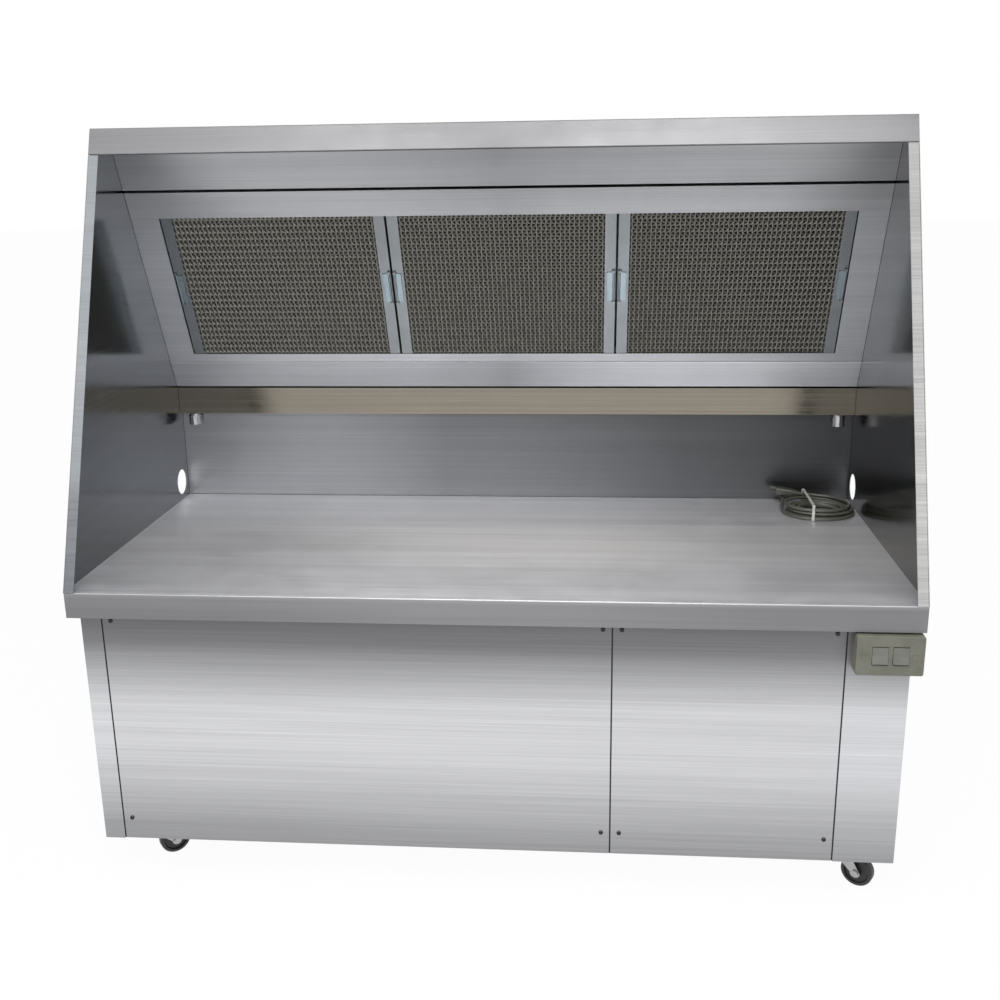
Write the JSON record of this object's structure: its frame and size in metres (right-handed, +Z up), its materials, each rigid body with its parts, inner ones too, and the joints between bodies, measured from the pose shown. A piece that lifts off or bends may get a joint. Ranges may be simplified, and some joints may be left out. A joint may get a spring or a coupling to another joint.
{
  "type": "ductless exhaust hood",
  "caption": "Mobile stainless work bench with a leaning three-sided hood, honeycomb grease filters, a drain trough and a recirculating blower in its base cabinet.",
  "frame": {"origin": "on the floor, under the middle of the bench", "axes": "+X to the right as seen from the front, +Y from the open front to the back, +Z up"},
  "size_m": [1.6, 0.8637, 1.471],
  "materials": {
    "stainless": "brushed along the length",
    "filter_steel": "satin",
    "handle_steel": "satin",
    "galvanised": "dull zinc coating",
    "zinc_fittings": "bright zinc plating",
    "wheel_rubber": "matte",
    "switch_housing": "matte",
    "rocker_plastic": "semi-gloss",
    "lead_sheath": "matte",
    "plug_plastic": "matte",
    "tie_plastic": "matte",
    "filter_media": "soft",
    "carbon_media": "granular",
    "motor_paint": "semi-matte"
  },
  "bodies": {
    "bench": {"base_pan": "stainless", "bench_supports": "galvanised", "bench_top": "stainless", "blower_housing": "galvanised", "blower_motor": "motor_paint", "cabinet_back": "stainless", "cabinet_left_side": "stainless", "cabinet_right_side": "stainless", "cable_tie": "tie_plastic", "carbon_filter": "carbon_media", "castor_plates": "zinc_fittings", "cord_gland": "plug_plastic", "drain_plugs": "zinc_fittings", "filter_left_frame": "filter_steel", "filter_left_honeycomb": "filter_steel", "filter_centre_frame": "filter_steel", "filter_centre_honeycomb": "filter_steel", "filter_right_frame": "filter_steel", "filter_right_honeycomb": "filter_steel", "filter_panel": "stainless", "filter_rack": "galvanised", "fine_filter": "filter_media", "front_frame": "stainless", "grease_trough": "stainless", "hood_back_wall": "stainless", "hood_left_wall": "stainless", "hood_right_wall": "stainless", "hood_roof": "stainless", "large_access_panel": "stainless", "lead_coil": "lead_sheath", "lower_rail": "stainless", "mains_plug": "plug_plastic", "panel_screws": "zinc_fittings", "power_lead": "lead_sheath", "rear_duct_cover": "stainless", "small_access_panel": "stainless", "switch_box": "switch_housing", "switch_cover": "switch_housing", "upper_bulkhead_panel": "stainless"},
    "impeller": {"blower_impeller": "galvanised"},
    "left_rocker": {"left_rocker": "rocker_plastic"},
    "right_rocker": {"right_rocker": "rocker_plastic"},
    "left_filter_left_handle": {"filter_left_left_handle": "handle_steel"},
    "left_filter_right_handle": {"filter_left_right_handle": "handle_steel"},
    "centre_filter_left_handle": {"filter_centre_left_handle": "handle_steel"},
    "centre_filter_right_handle": {"filter_centre_right_handle": "handle_steel"},
    "right_filter_left_handle": {"filter_right_left_handle": "handle_steel"},
    "right_filter_right_handle": {"filter_right_right_handle": "handle_steel"},
    "front_left_castor": {"front_left_castor_fork": "zinc_fittings", "front_left_castor_axle": "zinc_fittings"},
    "front_left_wheel": {"front_left_castor_wheel": "wheel_rubber"},
    "front_right_castor": {"front_right_castor_fork": "zinc_fittings", "front_right_castor_axle": "zinc_fittings"},
    "front_right_wheel": {"front_right_castor_wheel": "wheel_rubber"},
    "rear_left_castor": {"rear_left_castor_fork": "zinc_fittings", "rear_left_castor_axle": "zinc_fittings"},
    "rear_left_wheel": {"rear_left_castor_wheel": "wheel_rubber"},
    "rear_right_castor": {"rear_right_castor_fork": "zinc_fittings", "rear_right_castor_axle": "zinc_fittings"},
    "rear_right_wheel": {"rear_right_castor_wheel": "wheel_rubber"}
  },
  "joints": [
    {"name": "impeller_spin", "type": "hinge", "parent": "bench", "child": "impeller", "pos_m": [0.4, 0.1502, 0.3005], "axis": [1, 0, 0], "continuous": true},
    {"name": "left_rocker_tip", "type": "hinge", "parent": "bench", "child": "left_rocker", "pos_m": [0.7175, -0.4295, 0.528], "axis": [1, 0, 0], "range_deg": [0, 12]},
    {"name": "right_rocker_tip", "type": "hinge", "parent": "bench", "child": "right_rocker", "pos_m": [0.7545, -0.4295, 0.528], "axis": [1, 0, 0], "range_deg": [0, 12]},
    {"name": "left_filter_left_handle_swing", "type": "hinge", "parent": "bench", "child": "left_filter_left_handle", "pos_m": [-0.73, 0.15051, 1.13371], "axis": [0, 0.4274, -0.9041], "range_deg": [0, 95]},
    {"name": "left_filter_right_handle_swing", "type": "hinge", "parent": "bench", "child": "left_filter_right_handle", "pos_m": [-0.252, 0.15051, 1.13371], "axis": [0, -0.4274, 0.9041], "range_deg": [0, 95]},
    {"name": "centre_filter_left_handle_swing", "type": "hinge", "parent": "bench", "child": "centre_filter_left_handle", "pos_m": [-0.239, 0.15051, 1.13371], "axis": [0, 0.4274, -0.9041], "range_deg": [0, 95]},
    {"name": "centre_filter_right_handle_swing", "type": "hinge", "parent": "bench", "child": "centre_filter_right_handle", "pos_m": [0.239, 0.15051, 1.13371], "axis": [0, -0.4274, 0.9041], "range_deg": [0, 95]},
    {"name": "right_filter_left_handle_swing", "type": "hinge", "parent": "bench", "child": "right_filter_left_handle", "pos_m": [0.252, 0.15051, 1.13371], "axis": [0, 0.4274, -0.9041], "range_deg": [0, 95]},
    {"name": "right_filter_right_handle_swing", "type": "hinge", "parent": "bench", "child": "right_filter_right_handle", "pos_m": [0.73, 0.15051, 1.13371], "axis": [0, -0.4274, 0.9041], "range_deg": [0, 95]},
    {"name": "front_left_castor_swivel", "type": "hinge", "parent": "bench", "child": "front_left_castor", "pos_m": [-0.703, -0.328, 0.075], "axis": [0, 0, 1], "continuous": true},
    {"name": "front_left_wheel_roll", "type": "hinge", "parent": "front_left_castor", "child": "front_left_wheel", "pos_m": [-0.67778, -0.3083, 0.0315], "axis": [-0.6157, 0.788, 0], "continuous": true},
    {"name": "front_right_castor_swivel", "type": "hinge", "parent": "bench", "child": "front_right_castor", "pos_m": [0.703, -0.328, 0.075], "axis": [0, 0, 1], "continuous": true},
    {"name": "front_right_wheel_roll", "type": "hinge", "parent": "front_right_castor", "child": "front_right_wheel", "pos_m": [0.73014, -0.34496, 0.0315], "axis": [0.5299, 0.848, 0], "continuous": true},
    {"name": "rear_left_castor_swivel", "type": "hinge", "parent": "bench", "child": "rear_left_castor", "pos_m": [-0.703, 0.328, 0.075], "axis": [0, 0, 1], "continuous": true},
    {"name": "rear_left_wheel_roll", "type": "hinge", "parent": "rear_left_castor", "child": "rear_left_wheel", "pos_m": [-0.732, 0.31448, 0.0315], "axis": [0.4226, -0.9063, 0], "continuous": true},
    {"name": "rear_right_castor_swivel", "type": "hinge", "parent": "bench", "child": "rear_right_castor", "pos_m": [0.703, 0.328, 0.075], "axis": [0, 0, 1], "continuous": true},
    {"name": "rear_right_wheel_roll", "type": "hinge", "parent": "rear_right_castor", "child": "rear_right_wheel", "pos_m": [0.67529, 0.344, 0.0315], "axis": [-0.5, -0.866, 0], "continuous": true}
  ]
}
